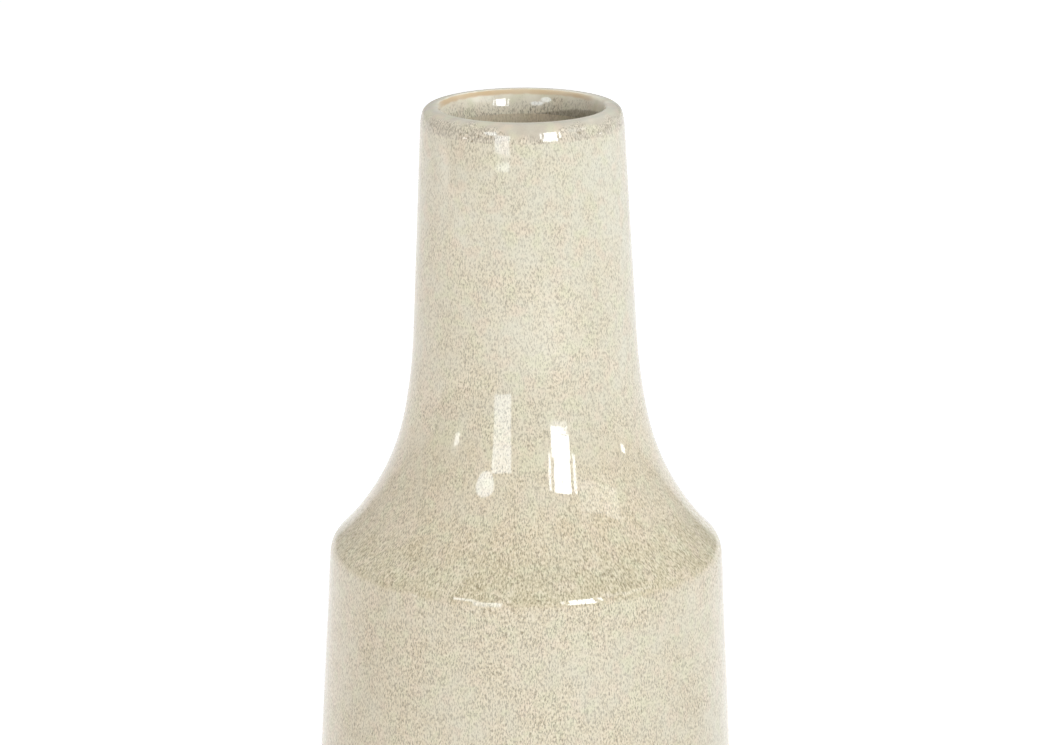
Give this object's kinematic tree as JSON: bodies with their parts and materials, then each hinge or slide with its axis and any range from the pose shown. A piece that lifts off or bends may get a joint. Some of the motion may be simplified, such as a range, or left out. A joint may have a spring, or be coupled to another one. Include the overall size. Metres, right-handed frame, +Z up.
{
  "type": "vase",
  "caption": "Round stoneware bottle vase: conical body, firm shoulder edge, steep concave shoulder and a tall tapering neck with a rounded lip, glazed in speckled oatmeal.",
  "frame": {"origin": "centre of the base, on the surface that the vase stands on", "axes": "+Z up along the axis of the pot; -Y faces the viewer; the pads lie at 45 degrees between +X and +Y and so on round"},
  "size_m": [0.1316, 0.1316, 0.25],
  "materials": {
    "stoneware": "matte",
    "oatmeal_glaze": "gloss",
    "lip_glaze": "gloss",
    "liner_glaze": "gloss",
    "felt": "matte"
  },
  "bodies": {
    "root": {"body_section": "stoneware", "neck_section": "stoneware", "outer_glaze": "oatmeal_glaze", "lip_glaze": "lip_glaze", "liner_glaze": "liner_glaze", "foot_pad_1": "felt", "foot_pad_2": "felt", "foot_pad_3": "felt", "foot_pad_4": "felt"}
  },
  "joints": []
}
